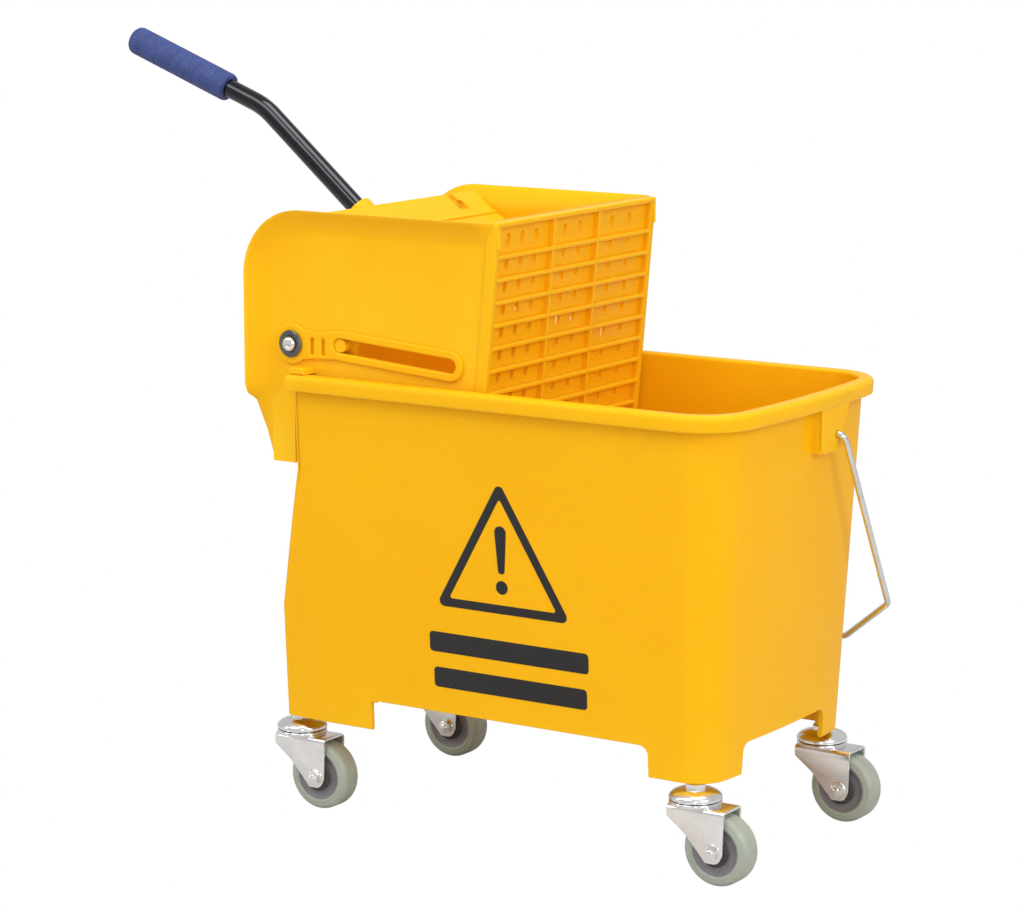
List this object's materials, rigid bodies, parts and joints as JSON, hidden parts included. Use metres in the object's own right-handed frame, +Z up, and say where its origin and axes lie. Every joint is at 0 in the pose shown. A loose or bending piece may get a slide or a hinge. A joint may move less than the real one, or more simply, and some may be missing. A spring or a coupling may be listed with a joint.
{
  "type": "mop bucket with side-press wringer",
  "caption": "Wheeled yellow mop bucket with a lift-off side-press wringer, a long lever that drives the press plate, a swinging wire bail and swivel casters.",
  "frame": {"origin": "on the floor, mid-width, midway between the swivel axes of the front and rear casters", "axes": "+X towards the pouring end, +Y to the left when facing that way, +Z up"},
  "size_m": [0.6174, 0.2512, 0.5722],
  "materials": {
    "yellow_plastic": "moulded, satin gloss",
    "zinc_steel": "bright zinc plate",
    "bright_wire": "bright plated wire",
    "dark_chrome": "polished near-black plating",
    "black_plastic": "matt",
    "blue_grip": "matt, finely textured",
    "dark_washer": "dark zinc",
    "hub_plastic": "satin",
    "grey_rubber": "satin"
  },
  "bodies": {
    "bucket_body": {"bucket": "yellow_plastic", "caster_stem_fl": "zinc_steel", "top_race_fl": "zinc_steel", "caster_stem_fr": "zinc_steel", "top_race_fr": "zinc_steel", "caster_stem_rl": "zinc_steel", "top_race_rl": "zinc_steel", "caster_stem_rr": "zinc_steel", "top_race_rr": "zinc_steel"},
    "wringer": {"wringer_housing": "yellow_plastic"},
    "lever": {"yoke_head": "yellow_plastic", "yoke_arm_left": "yellow_plastic", "yoke_arm_right": "yellow_plastic", "drive_rod": "zinc_steel", "rod_end_clips": "zinc_steel", "handle_tube": "dark_chrome", "tube_plug": "black_plastic", "handle_grip": "blue_grip", "tube_screws": "zinc_steel", "pivot_bolts": "zinc_steel", "pivot_washers": "dark_washer", "pivot_nuts": "zinc_steel"},
    "press": {"press_plate": "yellow_plastic"},
    "bail": {"bail_wire": "bright_wire"},
    "swivel_fl": {"fork_fl": "zinc_steel", "ball_ring_fl": "dark_washer", "axle_bolt_fl": "zinc_steel", "axle_nut_fl": "zinc_steel", "axle_sleeve_fl": "black_plastic"},
    "wheel_fl": {"wheel_hub_fl": "hub_plastic", "tyre_fl": "grey_rubber"},
    "swivel_fr": {"fork_fr": "zinc_steel", "ball_ring_fr": "dark_washer", "axle_bolt_fr": "zinc_steel", "axle_nut_fr": "zinc_steel", "axle_sleeve_fr": "black_plastic"},
    "wheel_fr": {"wheel_hub_fr": "hub_plastic", "tyre_fr": "grey_rubber"},
    "swivel_rl": {"fork_rl": "zinc_steel", "ball_ring_rl": "dark_washer", "axle_bolt_rl": "zinc_steel", "axle_nut_rl": "zinc_steel", "axle_sleeve_rl": "black_plastic"},
    "wheel_rl": {"wheel_hub_rl": "hub_plastic", "tyre_rl": "grey_rubber"},
    "swivel_rr": {"fork_rr": "zinc_steel", "ball_ring_rr": "dark_washer", "axle_bolt_rr": "zinc_steel", "axle_nut_rr": "zinc_steel", "axle_sleeve_rr": "black_plastic"},
    "wheel_rr": {"wheel_hub_rr": "hub_plastic", "tyre_rr": "grey_rubber"}
  },
  "joints": [
    {"name": "wringer_lift", "type": "slide", "parent": "bucket_body", "child": "wringer", "axis": [0, 0, 1], "range_m": [0, 0.16]},
    {"name": "lever_swing", "type": "hinge", "parent": "wringer", "child": "lever", "pos_m": [-0.162, 0, 0.354], "axis": [0, 1, 0], "range_deg": [0, 70]},
    {"name": "press_slide", "type": "slide", "parent": "wringer", "child": "press", "axis": [0.9973, 0, -0.0732], "range_m": [0, 0.0963]},
    {"name": "bail_swing", "type": "hinge", "parent": "bucket_body", "child": "bail", "pos_m": [0.2135, 0.031, 0.302], "axis": [-1, 0, 0], "range_deg": [-151, 0]},
    {"name": "swivel_fl", "type": "hinge", "parent": "bucket_body", "child": "swivel_fl", "pos_m": [0.1725, 0.094, 0.058], "axis": [0, 0, 1], "continuous": true},
    {"name": "wheel_spin_fl", "type": "hinge", "parent": "swivel_fl", "child": "wheel_fl", "pos_m": [0.1933, 0.094, 0.0255], "axis": [0, 1, 0], "continuous": true},
    {"name": "swivel_fr", "type": "hinge", "parent": "bucket_body", "child": "swivel_fr", "pos_m": [0.1725, -0.094, 0.058], "axis": [0, 0, 1], "continuous": true},
    {"name": "wheel_spin_fr", "type": "hinge", "parent": "swivel_fr", "child": "wheel_fr", "pos_m": [0.1933, -0.094, 0.0255], "axis": [0, 1, 0], "continuous": true},
    {"name": "swivel_rl", "type": "hinge", "parent": "bucket_body", "child": "swivel_rl", "pos_m": [-0.1725, 0.088, 0.058], "axis": [0, 0, 1], "continuous": true},
    {"name": "wheel_spin_rl", "type": "hinge", "parent": "swivel_rl", "child": "wheel_rl", "pos_m": [-0.1517, 0.088, 0.0255], "axis": [0, 1, 0], "continuous": true},
    {"name": "swivel_rr", "type": "hinge", "parent": "bucket_body", "child": "swivel_rr", "pos_m": [-0.1725, -0.088, 0.058], "axis": [0, 0, 1], "continuous": true},
    {"name": "wheel_spin_rr", "type": "hinge", "parent": "swivel_rr", "child": "wheel_rr", "pos_m": [-0.1517, -0.088, 0.0255], "axis": [0, 1, 0], "continuous": true}
  ],
  "couplings": [
    {"joint": "press_slide", "follows": "lever_swing", "m_per_rad": 0.078823}
  ]
}
